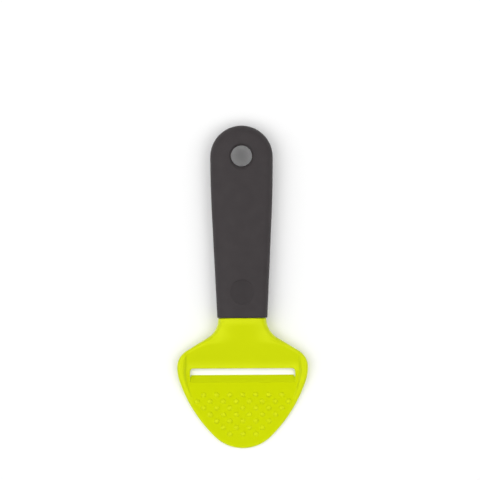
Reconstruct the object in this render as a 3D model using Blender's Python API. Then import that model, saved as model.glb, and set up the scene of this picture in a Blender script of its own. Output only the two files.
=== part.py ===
"""A one-hand cheese slicer: a moulded green head with a cutting slot, the hard core
that holds its tang, and the soft grip moulded over the core.

Lengths are in millimetres here and become metres when a mesh is made. X runs across
the tool, Y runs from the tip of the head to the end of the handle, and Z runs up.
"Run" is the distance from the joint between head and handle towards the tip."""

import math

import bmesh
import bpy
from mathutils import Matrix, Vector

MM = 0.001

# Fits between the three pieces
GAP = 0.3
JOINT_STEP = 0.5

# Plan outline of the head, from the joint to the tip
NECK_HALF_WIDTH = 14.5
NECK_FILLET_RADIUS = 13.4
SHOULDER_ANGLE = 58.4
HEAD_HALF_WIDTH = 39.3
CORNER_RADIUS = 11.4
UPPER_SIDE_RADIUS = 26.2
UPPER_SIDE_ANGLE = 19.0
SIDE_RADIUS = 85.0
SIDE_ANGLE = 46.0

# Side profile of the head
NECK_FLAT = 3.0
SHOULDER_RUN = 25.5
BREAK_RADIUS = 25.0
CREASE_RADIUS = 5.0
PLATE_THICKNESS = 3.0
TIP_THICKNESS = 1.8
RIM_HEIGHT = 1.9
RIM_LENGTH = 24.9
RIM_BASE_WIDTH = 5.6
RIM_FRONT_WIDTH = 3.1
RIM_WALL_ANGLE = 38.0
EDGE_ROUND = 1.0
UNDER_EDGE_ROUND = 0.8

# Hollow underside and the strip behind the slot
WALL = 2.4
BULKHEAD = 3.0
SLICE_THICKNESS = 1.0
STRIP_RUN = 3.9

# Slot and cutting lip
SLOT_SIDE_MARGIN = 1.6
SLOT_RUN = 5.1
SLOT_CORNER_RADIUS = 1.9
LIP_RUN = 4.2
LIP_EDGE = 0.35
NOTCH_WIDTH = 0.7
NOTCH_RUN = 1.1

# Domes that keep a slice from sticking
DOME_START = 7.2
DOME_ROW_PITCH = 3.92
DOME_PITCH = 7.83
DOME_RADIUS = 1.85
DOME_TOP_RADIUS = 1.25
DOME_HEIGHT = 0.75
DOME_SHOULDER = 0.5
DOME_SIDE_MARGIN = 4.5
DOME_TIP_MARGIN = 6.0

# Tang and its lock holes
TANG_LENGTH = 62.0
TANG_WIDTH = 16.0
TANG_THICKNESS = 4.4
TANG_CORNER_RADIUS = 3.0
LOCK_HOLE_RADIUS = 3.2
LOCK_HOLE_START = 20.0
LOCK_HOLE_PITCH = 25.0
LOCK_HOLE_COUNT = 2

# Handle
HANDLE_TO_CAP_CENTRE = 97.0
HANDLE_JOINT_HALF_WIDTH = 15.0
HANDLE_END_RADIUS = 18.75
HANDLE_TAPER_ANGLE = 2.69
HANDLE_JOINT_THICKNESS = 15.6
HANDLE_END_THICKNESS = 16.4
HANDLE_EDGE_RADIUS = 6.4
SKIN = 2.4

# Hanging hole and thumb dish
HOLE_RADIUS = 6.3
HOLE_OFFSET = 0.6
HOLE_FLARE_RADIUS = 1.6
HOLE_FLARE_ANGLE = 55.0
DISH_RUN = 16.05
DISH_RADIUS = 7.5
DISH_EDGE_DEPTH = 0.9
DISH_FLOOR_RADIUS = 40.0

# How quickly the neck's broad rounding narrows, and how much steeper than the
# shoulder the back of the pan is
ROLL_FALL = 1.3
PAN_BACK_STEEPNESS = 1.15

# How finely round forms are cut into flats
FLAT_TURN = 5.0
PATH_STEPS = 6
CROWN_STEPS = 3
EDGE_STEPS = 6
UNDER_STEPS = 4
EASE_STEPS = 5
CAP_STEPS = 12
HOLE_STEPS = 40
LOCK_STEPS = 20
DOME_STEPS = 12
ROW_SPACING = 0.25
SMOOTH_ANGLE = 35.0

# Spare length of a cutter past the surface it cuts, and the distance at which two
# points are one, in metres
CLEAR = 5.0
TOUCH = 1e-7


def unit(degrees):
    """The unit vector at an angle from the run axis: across, along."""
    angle = math.radians(degrees)
    return math.sin(angle), math.cos(angle)


def arc_runs(start, radius, first_angle, last_angle):
    """The runs of the points of an arc in equal turns, without its first point.

    The radius of an arc whose angle falls as it goes is given as negative."""
    steps = math.ceil(abs(last_angle - first_angle) / FLAT_TURN)
    first, _ = unit(first_angle)
    found = []
    for step in range(1, steps + 1):
        across, _ = unit(first_angle + (last_angle - first_angle) * step / steps)
        found.append(start + radius * (across - first))
    return found


class Outline:
    """Half of the head's plan outline as a chain of arcs and one straight, by run."""

    def __init__(self):
        across, along = unit(SHOULDER_ANGLE)
        self.fillet_end = NECK_FILLET_RADIUS * across
        self.fillet_width = NECK_HALF_WIDTH + NECK_FILLET_RADIUS * (1.0 - along)
        corner_width = HEAD_HALF_WIDTH - CORNER_RADIUS * (1.0 - along)
        self.shoulder_spread = across / along
        self.corner_start = self.fillet_end + (corner_width - self.fillet_width) / self.shoulder_spread
        self.widest = self.corner_start + CORNER_RADIUS * across
        upper_across, upper_along = unit(UPPER_SIDE_ANGLE)
        self.upper_end = self.widest + UPPER_SIDE_RADIUS * upper_across
        self.upper_width = HEAD_HALF_WIDTH - UPPER_SIDE_RADIUS * (1.0 - upper_along)
        side_across, side_along = unit(SIDE_ANGLE)
        self.side_end = self.upper_end + SIDE_RADIUS * (side_across - upper_across)
        self.side_width = self.upper_width - SIDE_RADIUS * (upper_along - side_along)
        self.tip_radius = self.side_width / side_along
        self.length = self.side_end + self.tip_radius * (1.0 - side_across)

    def at(self, run):
        """Half width at a run and the angle of the outline there, outwards positive."""
        if run <= 0.0:
            return NECK_HALF_WIDTH, 0.0
        if run <= self.fillet_end:
            angle = math.asin(run / NECK_FILLET_RADIUS)
            return NECK_HALF_WIDTH + NECK_FILLET_RADIUS * (1.0 - math.cos(angle)), angle
        if run <= self.corner_start:
            width = self.fillet_width + (run - self.fillet_end) * self.shoulder_spread
            return width, math.radians(SHOULDER_ANGLE)
        if run <= self.widest:
            angle = math.asin((self.widest - run) / CORNER_RADIUS)
            return HEAD_HALF_WIDTH - CORNER_RADIUS * (1.0 - math.cos(angle)), angle
        if run <= self.upper_end:
            angle = math.asin((run - self.widest) / UPPER_SIDE_RADIUS)
            return HEAD_HALF_WIDTH - UPPER_SIDE_RADIUS * (1.0 - math.cos(angle)), -angle
        if run <= self.side_end:
            across, along = unit(UPPER_SIDE_ANGLE)
            angle = math.asin(across + (run - self.upper_end) / SIDE_RADIUS)
            return self.upper_width - SIDE_RADIUS * (along - math.cos(angle)), -angle
        angle = math.asin(min(1.0, 1.0 - (self.length - run) / self.tip_radius))
        return self.tip_radius * math.cos(angle), -angle

    def runs(self):
        """Stations along the outline, closest where it curves."""
        stops = [0.0]
        stops += arc_runs(0.0, NECK_FILLET_RADIUS, 0.0, SHOULDER_ANGLE)
        stops += [self.corner_start]
        stops += arc_runs(self.corner_start, -CORNER_RADIUS, SHOULDER_ANGLE, 0.0)
        stops += arc_runs(self.widest, UPPER_SIDE_RADIUS, 0.0, UPPER_SIDE_ANGLE)
        stops += arc_runs(self.upper_end, SIDE_RADIUS, UPPER_SIDE_ANGLE, SIDE_ANGLE)
        stops += arc_runs(self.side_end, self.tip_radius, SIDE_ANGLE, 90.0)
        return stops


def rounded_path(corners, radii):
    """A path through the corners, with the inner ones rounded to the radii."""
    path = [Vector(corners[0])]
    for index, radius in enumerate(radii, start=1):
        corner = Vector(corners[index])
        before = (Vector(corners[index - 1]) - corner).normalized()
        after = (Vector(corners[index + 1]) - corner).normalized()
        half_turn = (math.pi - before.angle(after)) / 2.0
        reach = radius * math.tan(half_turn)
        centre = corner + (before + after).normalized() * radius / math.cos(half_turn)
        start = corner + before * reach - centre
        end = corner + after * reach - centre
        for step in range(PATH_STEPS + 1):
            path.append(centre + start.slerp(end, step / PATH_STEPS) * radius)
    path.append(Vector(corners[-1]))
    return path


def height_at(path, run):
    """The height of a path at a run, straight between its points."""
    for before, after in zip(path, path[1:]):
        if run <= after.x:
            share = (run - before.x) / (after.x - before.x)
            return before.y + (after.y - before.y) * share
    return path[-1].y


def smooth_step(value):
    """0 up to 1 with a flat start and end."""
    value = max(0.0, min(1.0, value))
    return value * value * (3.0 - 2.0 * value)


def crown_radius(half_width, half_thickness, edge_radius):
    """The radius of the crown that meets both edge arcs of an oval without a corner."""
    reach = half_width - edge_radius
    rise = half_thickness - edge_radius
    return (reach**2 + half_thickness**2 - edge_radius**2) / (2.0 * rise)


OUTLINE = Outline()
HEAD_LENGTH = OUTLINE.length
HANDLE_LENGTH = HANDLE_TO_CAP_CENTRE + HANDLE_END_RADIUS
JOINT_Y = (HEAD_LENGTH - HANDLE_LENGTH) / 2.0

# The grip's taper, and the stretch over which it eases into the round end
HANDLE_SLOPE = math.tan(math.radians(HANDLE_TAPER_ANGLE))
TAPER_RUN = (HANDLE_END_RADIUS - HANDLE_JOINT_HALF_WIDTH) / HANDLE_SLOPE
HANDLE_EASE = 2.0 * (HANDLE_TO_CAP_CENTRE - TAPER_RUN)
HOLE_RUN = -(HANDLE_TO_CAP_CENTRE + HOLE_OFFSET)

NECK_TOP = HANDLE_JOINT_THICKNESS - JOINT_STEP
NECK_MIDDLE = HANDLE_JOINT_THICKNESS / 2.0
NECK_EDGE_RADIUS = HANDLE_EDGE_RADIUS - JOINT_STEP
NECK_CROWN_RADIUS = crown_radius(
    NECK_HALF_WIDTH, NECK_MIDDLE - JOINT_STEP, NECK_EDGE_RADIUS
)
SHOULDER_SLOPE = (NECK_TOP - PLATE_THICKNESS) / (SHOULDER_RUN - NECK_FLAT)
SHOULDER_STRETCH = math.hypot(1.0, SHOULDER_SLOPE)
RIM_RUN = SHOULDER_RUN - RIM_HEIGHT / SHOULDER_SLOPE
RIM_END = SHOULDER_RUN + RIM_LENGTH
SLOT_START = SHOULDER_RUN + STRIP_RUN
LIP_START = SLOT_START + SLOT_RUN
LIP_END = LIP_START + LIP_RUN
PAN_HALF_WIDTH = HEAD_HALF_WIDTH - RIM_BASE_WIDTH
SLOT_HALF_WIDTH = PAN_HALF_WIDTH - SLOT_SIDE_MARGIN

# The top line along the rims, the pan floor between them, and the roof of the hollow
RIM_LINE = rounded_path(
    [
        (-CLEAR, NECK_TOP),
        (NECK_FLAT, NECK_TOP),
        (RIM_RUN, PLATE_THICKNESS + RIM_HEIGHT),
        (RIM_END, PLATE_THICKNESS),
        (HEAD_LENGTH + CLEAR, TIP_THICKNESS),
    ],
    [BREAK_RADIUS, CREASE_RADIUS, SIDE_RADIUS],
)
PAN_BACK_RISE = (RIM_HEIGHT + CLEAR * SHOULDER_SLOPE) * PAN_BACK_STEEPNESS
PAN_LINE = rounded_path(
    [
        (RIM_RUN - CLEAR, PLATE_THICKNESS + PAN_BACK_RISE),
        (SHOULDER_RUN, PLATE_THICKNESS),
        (RIM_END + CLEAR, PLATE_THICKNESS),
    ],
    [CREASE_RADIUS],
)
HOLLOW_TOP = NECK_TOP - WALL
HOLLOW_BREAK = NECK_FLAT - WALL * (SHOULDER_STRETCH - 1.0) / SHOULDER_SLOPE
HOLLOW_CREASE = (
    NECK_FLAT + (NECK_TOP - WALL * SHOULDER_STRETCH - SLICE_THICKNESS) / SHOULDER_SLOPE
)
HOLLOW_LINE = rounded_path(
    [
        (-CLEAR, HOLLOW_TOP),
        (HOLLOW_BREAK, HOLLOW_TOP),
        (HOLLOW_CREASE, SLICE_THICKNESS),
        (HEAD_LENGTH, SLICE_THICKNESS),
    ],
    [BREAK_RADIUS - WALL, CREASE_RADIUS],
)


def clear_scene():
    for obj in list(bpy.data.objects):
        bpy.data.objects.remove(obj, do_unlink=True)


def plastic(name, colour, roughness):
    """A moulded plastic: its linear colour and roughness on a Principled BSDF."""
    material = bpy.data.materials.new(name)
    material.use_nodes = True
    shader = material.node_tree.nodes["Principled BSDF"]
    shader.inputs["Base Color"].default_value = (*colour, 1.0)
    shader.inputs["Roughness"].default_value = roughness
    shader.inputs["Metallic"].default_value = 0.0
    material.diffuse_color = (*colour, 1.0)
    return material


def place(across, run, up):
    """A point of the head or handle, from run to the part's own metres."""
    return Vector((across * MM, (JOINT_Y - run) * MM, up * MM))


def add_object(name, mesh_data, material=None):
    """Turns a bmesh into an object. One without a material is a cutter."""
    # A cut is sure only between flat faces, and only a triangle is always flat.
    bmesh.ops.triangulate(mesh_data, faces=mesh_data.faces)
    mesh = bpy.data.meshes.new(name)
    mesh_data.to_mesh(mesh)
    mesh_data.free()
    mesh.shade_smooth()
    mesh.set_sharp_from_angle(angle=math.radians(SMOOTH_ANGLE))
    obj = bpy.data.objects.new(name, mesh)
    bpy.context.scene.collection.objects.link(obj)
    if material:
        mesh.materials.append(material)
    else:
        obj.hide_render = True
        obj.display_type = "WIRE"
    return obj


def cut(obj, cutter, operation="DIFFERENCE", solver="EXACT"):
    modifier = obj.modifiers.new(cutter.name, "BOOLEAN")
    modifier.operation = operation
    modifier.object = cutter
    modifier.solver = solver


def close_up(mesh_data):
    """Joins touching points, fills the open end and turns every face outwards."""
    bmesh.ops.remove_doubles(mesh_data, verts=mesh_data.verts, dist=TOUCH)
    bmesh.ops.dissolve_degenerate(mesh_data, edges=mesh_data.edges, dist=TOUCH)
    rim = [edge for edge in mesh_data.edges if edge.is_boundary]
    if rim:
        bmesh.ops.holes_fill(mesh_data, edges=rim)
    bmesh.ops.recalc_face_normals(mesh_data, faces=mesh_data.faces)


def body_from_rows(rows):
    """Skins rows of points on one side and mirrors them to the other."""
    mesh_data = bmesh.new()
    for side in (1.0, -1.0):
        grid = []
        for row in rows:
            grid.append([mesh_data.verts.new((side * point.x, point.y, point.z)) for point in row])
        for before, after in zip(grid, grid[1:]):
            for index in range(len(before) - 1):
                corners = [before[index], before[index + 1], after[index + 1], after[index]]
                mesh_data.faces.new(corners)
    close_up(mesh_data)
    return mesh_data


def trim(mesh_data, run, keep_towards_tip):
    """Cuts a closed form square across at a run and caps it."""
    towards = 1.0 if keep_towards_tip else -1.0
    bmesh.ops.bisect_plane(
        mesh_data,
        geom=mesh_data.verts[:] + mesh_data.edges[:] + mesh_data.faces[:],
        dist=TOUCH,
        plane_co=place(0.0, run, 0.0),
        plane_no=(0.0, towards, 0.0),
        clear_outer=True,
    )
    close_up(mesh_data)


def turned(profile, across, run, steps):
    """A closed body turned about a vertical axis; profile is (radius, height) pairs."""
    centre = place(across, run, 0.0)
    mesh_data = bmesh.new()
    ring = [mesh_data.verts.new(place(across + radius, run, up)) for radius, up in profile]
    edges = [mesh_data.edges.new(pair) for pair in zip(ring, ring[1:])]
    bmesh.ops.spin(
        mesh_data,
        geom=ring + edges,
        cent=centre,
        axis=(0.0, 0.0, 1.0),
        angle=math.tau,
        steps=steps,
        use_merge=True,
    )
    # Half a flat's turn keeps its corners off the tool's middle line.
    half_flat = Matrix.Rotation(math.pi / steps, 3, "Z")
    bmesh.ops.rotate(mesh_data, verts=mesh_data.verts, cent=centre, matrix=half_flat)
    close_up(mesh_data)
    return mesh_data


def block(low, high):
    """A box between two corners, each given as across, run and up."""
    mesh_data = bmesh.new()
    bmesh.ops.create_cube(mesh_data, size=1.0)
    first = place(*low)
    last = place(*high)
    for vert in mesh_data.verts:
        for axis in range(3):
            vert.co[axis] = first[axis] if vert.co[axis] < 0.0 else last[axis]
    bmesh.ops.recalc_face_normals(mesh_data, faces=mesh_data.faces)
    return mesh_data


def round_upright_edges(mesh_data, run, radius):
    """Rounds the vertical edges of a form that stand at a run."""
    wanted = place(0.0, run, 0.0).y
    upright = []
    for edge in mesh_data.edges:
        first, last = edge.verts
        if (first.co - last.co).xy.length < TOUCH and abs(first.co.y - wanted) < TOUCH:
            upright.append(edge)
    bmesh.ops.bevel(
        mesh_data,
        geom=upright,
        offset=radius * MM,
        offset_type="OFFSET",
        segments=EDGE_STEPS,
        profile=0.5,
        affect="EDGES",
        material=-1,
    )


def top_roll(run):
    """Radius of the rounding on the head's upper edge: broad at the neck, small at the rims."""
    share = max(0.0, 1.0 - run / RIM_RUN)
    return EDGE_ROUND + (NECK_EDGE_RADIUS - EDGE_ROUND) * share**ROLL_FALL


def under_roll(run):
    """Radius of the rounding on the head's lower edge."""
    share = 1.0 - smooth_step(run / OUTLINE.fillet_end)
    return UNDER_EDGE_ROUND + (NECK_EDGE_RADIUS - UNDER_EDGE_ROUND) * share


def neck_crown(run):
    """Curvature of the crown that the neck shares with the handle, fading on the shoulder."""
    return (1.0 - smooth_step(run / RIM_RUN)) / NECK_CROWN_RADIUS


def under_line(run):
    """Height of the underside: the joint step at the handle, the table beyond the neck."""
    return JOINT_STEP * (1.0 - smooth_step(run / NECK_FLAT))


def inward_point(run, reach):
    """Half width and run of the point that lies a reach inside the outline."""
    half_width, angle = OUTLINE.at(run)
    return max(0.0, half_width - math.cos(angle) * reach), run + math.sin(angle) * reach


def upper_row(run, inset, radius, line):
    """Half a section's top, from the middle out and down its rounded edge."""
    inner, inner_run = inward_point(run, inset + radius)
    bend = neck_crown(inner_run)
    lean = math.atan(bend * inner)
    peak = height_at(line, inner_run)
    row = []
    for step in range(CROWN_STEPS):
        across = inner * step / CROWN_STEPS
        row.append(place(across, inner_run, peak - bend * across**2 / 2.0))
    for step in range(EDGE_STEPS + 1):
        turn = (math.pi / 2.0 - lean) * (1.0 - step / EDGE_STEPS)
        across, here = inward_point(run, inset + radius * (1.0 - math.cos(turn)))
        drop = bend * inner**2 / 2.0 + radius * (math.cos(lean) - math.sin(turn))
        row.append(place(across, here, height_at(line, here) - drop))
    return row


def lower_row(run):
    """Half a section's underside, from its rounded edge in to the middle."""
    radius = under_roll(run)
    inner, inner_run = inward_point(run, radius)
    bend = neck_crown(inner_run)
    lean = math.atan(bend * inner)
    floor = under_line(run)
    row = []
    for step in range(UNDER_STEPS + 1):
        turn = (math.pi / 2.0 - lean) * step / UNDER_STEPS
        across, here = inward_point(run, radius * (1.0 - math.cos(turn)))
        rise = bend * inner**2 / 2.0 + radius * (math.cos(lean) - math.sin(turn))
        row.append(place(across, here, floor + rise))
    for step in range(CROWN_STEPS - 1, -1, -1):
        across = inner * step / CROWN_STEPS
        row.append(place(across, inner_run, floor + bend * across**2 / 2.0))
    return row


def head_runs(line, first, last):
    """The outline's stations and the profile's own points, in order, none too close."""
    stops = [point.x for point in line] + OUTLINE.runs()
    kept = [first]
    for stop in sorted(stops):
        if stop - kept[-1] > ROW_SPACING and last - stop > ROW_SPACING:
            kept.append(stop)
    return kept + [last]


def head_blank(material):
    rows = []
    for run in head_runs(RIM_LINE, 0.0, HEAD_LENGTH):
        rows.append(upper_row(run, 0.0, top_roll(run), RIM_LINE) + lower_row(run))
    return add_object("slicer_head", body_from_rows(rows), material)


def hollow_cutter():
    """The space under the shoulder and strip: the head's own form, one wall smaller."""
    rows = []
    for run in head_runs(HOLLOW_LINE, -CLEAR, LIP_START + CLEAR):
        radius = max(top_roll(run) - WALL, SLICE_THICKNESS / 2.0)
        across, here = inward_point(run, WALL)
        below = [place(across, here, -CLEAR), place(0.0, here, -CLEAR)]
        rows.append(upper_row(run, WALL, radius, HOLLOW_LINE) + below)
    mesh_data = body_from_rows(rows)
    trim(mesh_data, BULKHEAD, True)
    trim(mesh_data, LIP_START, False)
    return add_object("hollow_cutter", mesh_data)


def pan_half_width(run):
    """Half width of the pan floor: straight beside the slot, then following the outline."""
    if run <= OUTLINE.widest:
        return PAN_HALF_WIDTH
    share = min(1.0, (run - OUTLINE.widest) / (RIM_END - OUTLINE.widest))
    margin = RIM_BASE_WIDTH + (RIM_FRONT_WIDTH - RIM_BASE_WIDTH) * share
    return OUTLINE.at(run)[0] - margin


def pan_cutter():
    """Sinks the floor between the rims, with sloped side walls."""
    lid = NECK_TOP
    flare = 1.0 / math.tan(math.radians(RIM_WALL_ANGLE))
    stops = [point.x for point in PAN_LINE]
    stops += [run for run in OUTLINE.runs() if SHOULDER_RUN + CREASE_RADIUS < run < RIM_END + CLEAR]
    rows = []
    for run in sorted(stops):
        floor = height_at(PAN_LINE, run)
        foot = pan_half_width(run)
        brim = foot + (lid - floor) * flare
        row = [(0.0, lid), (brim, lid), (foot, floor), (0.0, floor)]
        rows.append([place(across, run, up) for across, up in row])
    return add_object("pan_cutter", body_from_rows(rows))


def slot_cutter():
    """The see-through slot and the ramp of the lip, as one side profile run across."""
    slope = (PLATE_THICKNESS - LIP_EDGE) / LIP_RUN
    lid = PLATE_THICKNESS + CLEAR * slope
    profile = [
        (SLOT_START, -CLEAR),
        (LIP_START, -CLEAR),
        (LIP_START, LIP_EDGE),
        (LIP_END + CLEAR, lid),
        (SLOT_START, lid),
    ]
    mesh_data = bmesh.new()
    ring = [mesh_data.verts.new(place(-SLOT_HALF_WIDTH, run, up)) for run, up in profile]
    face = mesh_data.faces.new(ring)
    swept = bmesh.ops.extrude_face_region(mesh_data, geom=[face])["geom"]
    moved = [item for item in swept if isinstance(item, bmesh.types.BMVert)]
    bmesh.ops.translate(mesh_data, verts=moved, vec=(2.0 * SLOT_HALF_WIDTH * MM, 0.0, 0.0))
    bmesh.ops.recalc_face_normals(mesh_data, faces=mesh_data.faces)
    round_upright_edges(mesh_data, SLOT_START, SLOT_CORNER_RADIUS)
    return add_object("slot_cutter", mesh_data)


def notch_cutter():
    """Frees both ends of the lip's edge from the sides of the slot."""
    low = (SLOT_HALF_WIDTH - NOTCH_WIDTH, LIP_START + NOTCH_RUN, -CLEAR)
    high = (SLOT_HALF_WIDTH + GAP, LIP_START - NOTCH_RUN, PLATE_THICKNESS / 2.0)
    mesh_data = block(low, high)
    whole = mesh_data.verts[:] + mesh_data.edges[:] + mesh_data.faces[:]
    bmesh.ops.mirror(mesh_data, geom=whole, axis="X")
    bmesh.ops.recalc_face_normals(mesh_data, faces=mesh_data.faces)
    return add_object("notch_cutter", mesh_data)


def dome_places():
    """Staggered rows that stop a margin short of the outline and of the tip."""
    places = []
    row = 0
    run = LIP_END + DOME_START
    while run < HEAD_LENGTH - DOME_TIP_MARGIN:
        reach = OUTLINE.at(run)[0] - DOME_SIDE_MARGIN
        across = DOME_PITCH / 2.0 if row % 2 else 0.0
        while across <= reach:
            places.append((across, run))
            if across > 0.0:
                places.append((-across, run))
            across += DOME_PITCH
        row += 1
        run += DOME_ROW_PITCH
    return places


def domes():
    """All the domes as one object: steep at the foot, nearly flat on top."""
    flank = (DOME_RADIUS - DOME_TOP_RADIUS) / DOME_SHOULDER
    sunk_radius = DOME_RADIUS + DOME_HEIGHT * flank
    joined = bmesh.new()
    for across, run in dome_places():
        base = min(PLATE_THICKNESS, height_at(RIM_LINE, run))
        profile = [
            (0.0, base + DOME_HEIGHT),
            (DOME_TOP_RADIUS, base + DOME_SHOULDER),
            (sunk_radius, base - DOME_HEIGHT),
            (0.0, base - DOME_HEIGHT),
        ]
        single = turned(profile, across, run, DOME_STEPS)
        mesh = bpy.data.meshes.new("dome")
        single.to_mesh(mesh)
        single.free()
        joined.from_mesh(mesh)
        bpy.data.meshes.remove(mesh)
    return add_object("domes", joined)


def tang_form(grow):
    """The flat tang in the handle, or its socket when grown by the fit."""
    half_height = TANG_THICKNESS / 2.0 + grow
    half_width = TANG_WIDTH / 2.0 + grow
    end = -(TANG_LENGTH + grow)
    low = (-half_width, BULKHEAD / 2.0, NECK_MIDDLE - half_height)
    high = (half_width, end, NECK_MIDDLE + half_height)
    mesh_data = block(low, high)
    round_upright_edges(mesh_data, end, TANG_CORNER_RADIUS)
    return mesh_data


def lock_posts(name, radius):
    """The upright posts that pass through the tang, or the holes for them."""
    high = HANDLE_END_THICKNESS
    profile = [(0.0, high), (radius, high), (radius, 0.0), (0.0, 0.0)]
    posts = []
    for index in range(LOCK_HOLE_COUNT):
        distance = LOCK_HOLE_START + LOCK_HOLE_PITCH * index
        post = turned(profile, 0.0, -distance, LOCK_STEPS)
        posts.append(add_object(f"{name}_{index + 1}", post))
    return posts


def slicer_head():
    head = head_blank(plastic("lime_nylon", (0.60, 0.71, 0.005), 0.35))
    # EXACT drops a sliver of the head's wall at some head widths; MANIFOLD holds at all.
    for cutter in (hollow_cutter(), pan_cutter(), slot_cutter(), notch_cutter()):
        cut(head, cutter, solver="MANIFOLD")
    cut(head, domes(), "UNION", "MANIFOLD")
    tang = add_object("tang", tang_form(0.0))
    for post in lock_posts("lock_hole", LOCK_HOLE_RADIUS):
        cut(tang, post)
    cut(head, tang, "UNION", "MANIFOLD")
    return head


def handle_width(distance):
    """Half width of the grip at a distance from the joint: a taper eased into the round end."""
    left = HANDLE_TO_CAP_CENTRE - distance
    if left >= HANDLE_EASE:
        return HANDLE_JOINT_HALF_WIDTH + distance * HANDLE_SLOPE
    return HANDLE_END_RADIUS - HANDLE_SLOPE * left**2 / (2.0 * HANDLE_EASE)


def handle_half_thickness(distance):
    share = distance / HANDLE_TO_CAP_CENTRE
    return (HANDLE_JOINT_THICKNESS + (HANDLE_END_THICKNESS - HANDLE_JOINT_THICKNESS) * share) / 2.0


def oval(half_width, half_thickness, inset, steps):
    """Half an oval section, top to bottom: a crown and an edge arc, above and below."""
    edge = HANDLE_EDGE_RADIUS
    crown = crown_radius(half_width, half_thickness, edge)
    lean = math.asin((half_width - edge) / (crown - edge))
    upper = []
    for step in range(steps):
        angle = lean * step / steps
        rise = half_thickness - crown + (crown - inset) * math.cos(angle)
        upper.append(((crown - inset) * math.sin(angle), rise))
    for step in range(steps + 1):
        angle = lean + (math.pi / 2.0 - lean) * step / steps
        reach = half_width - edge + (edge - inset) * math.sin(angle)
        upper.append((reach, (edge - inset) * math.cos(angle)))
    lower = [(reach, -rise) for reach, rise in reversed(upper[:-1])]
    return upper + lower


def handle_form(inset, start, steps):
    """The whole handle, or a skin smaller, from a distance past the joint to its round end."""
    ease_start = HANDLE_TO_CAP_CENTRE - HANDLE_EASE
    distances = [start, ease_start / 2.0]
    distances += [ease_start + HANDLE_EASE * step / EASE_STEPS for step in range(EASE_STEPS)]
    rows = []
    for distance in distances:
        thickness = handle_half_thickness(distance)
        section = oval(handle_width(distance), thickness, inset, steps)
        rows.append([place(reach, -distance, thickness + rise) for reach, rise in section])
    thickness = HANDLE_END_THICKNESS / 2.0
    section = oval(HANDLE_END_RADIUS, thickness, inset, steps)
    for step in range(CAP_STEPS + 1):
        angle = math.pi / 2.0 * step / CAP_STEPS
        across = math.cos(angle) if step < CAP_STEPS else 0.0
        row = []
        for reach, rise in section:
            distance = HANDLE_TO_CAP_CENTRE + reach * math.sin(angle)
            row.append(place(reach * across, -distance, thickness + rise))
        rows.append(row)
    return body_from_rows(rows)


def hole_liner(name, radius):
    """A plain upright cylinder on the axis of the hanging hole."""
    low = -CLEAR
    high = HANDLE_END_THICKNESS + CLEAR
    profile = [(0.0, high), (radius, high), (radius, low), (0.0, low)]
    return add_object(name, turned(profile, 0.0, HOLE_RUN, HOLE_STEPS))


def hole_cutter():
    """The bore of the hanging hole, flared in an arc at both faces."""
    middle = HANDLE_END_THICKNESS / 2.0
    sunk = HOLE_RADIUS**2 / (2.0 * crown_radius(HANDLE_END_RADIUS, middle, HANDLE_EDGE_RADIUS))
    straight = middle - sunk - HOLE_FLARE_RADIUS
    upper = []
    for step in range(EDGE_STEPS + 1):
        angle = math.radians(HOLE_FLARE_ANGLE) * step / EDGE_STEPS
        reach = HOLE_RADIUS + HOLE_FLARE_RADIUS * (1.0 - math.cos(angle))
        upper.append((reach, straight + HOLE_FLARE_RADIUS * math.sin(angle)))
    flare = math.tan(math.radians(HOLE_FLARE_ANGLE))
    reach, rise = upper[-1]
    past = CLEAR / 2.0
    upper.append((reach + past * flare, rise + past))
    upper.append((0.0, rise + past))
    profile = [(reach, middle + rise) for reach, rise in reversed(upper)]
    profile += [(reach, middle - rise) for reach, rise in upper]
    return add_object("hole_cutter", turned(profile, 0.0, HOLE_RUN, HOLE_STEPS))


def dish_cutter():
    """The thumb dish: a crisp round edge and a shallow hollow floor."""
    top = 2.0 * handle_half_thickness(DISH_RUN)
    edge = top - DISH_EDGE_DEPTH
    profile = [(0.0, top + CLEAR), (DISH_RADIUS, top + CLEAR)]
    for step in range(EDGE_STEPS + 1):
        reach = DISH_RADIUS * (1.0 - step / EDGE_STEPS)
        profile.append((reach, edge - (DISH_RADIUS**2 - reach**2) / (2.0 * DISH_FLOOR_RADIUS)))
    return add_object("dish_cutter", turned(profile, 0.0, -DISH_RUN, HOLE_STEPS))


def handle_core():
    """The hard inner handle, with the tang's socket and the posts that lock it."""
    material = plastic("grey_core", (0.09, 0.09, 0.095), 0.5)
    core = add_object("handle_core", handle_form(SKIN + GAP, GAP, CROWN_STEPS), material)
    socket = add_object("tang_socket", tang_form(GAP))
    for post in lock_posts("lock_post", LOCK_HOLE_RADIUS - GAP):
        cut(socket, post)
    cut(core, socket)
    cut(core, hole_liner("core_clearance", HOLE_RADIUS + SKIN + GAP))
    return core


def soft_grip():
    """The soft skin over the core, which also lines the hanging hole."""
    material = plastic("grey_soft_touch", (0.056, 0.051, 0.053), 0.7)
    grip = add_object("soft_grip", handle_form(0.0, GAP, EDGE_STEPS), material)
    cavity = add_object("grip_cavity", handle_form(SKIN, -CLEAR, CROWN_STEPS))
    cut(cavity, hole_liner("hole_lining", HOLE_RADIUS + SKIN))
    cut(grip, cavity)
    cut(grip, hole_cutter())
    cut(grip, dish_cutter())
    return grip


clear_scene()
slicer_head()
handle_core()
soft_grip()
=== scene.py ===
# %% [markdown]
# # A one-hand cheese slicer
#
# The tool has a lime-green moulded head with a cutting slot, and a dark soft-touch
# handle with a hanging hole. Each step below models one form of it, or one finish,
# or one part of the photographer's set. Lengths are in millimetres while a piece is
# being modelled, because that is how such a tool is drawn, and each finished piece
# is scaled to Blender's metres at its end.

# %% Load the frame
import math

import bmesh
import bpy
from mathutils import Matrix, Vector
from mathutils.kdtree import KDTree


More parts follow.
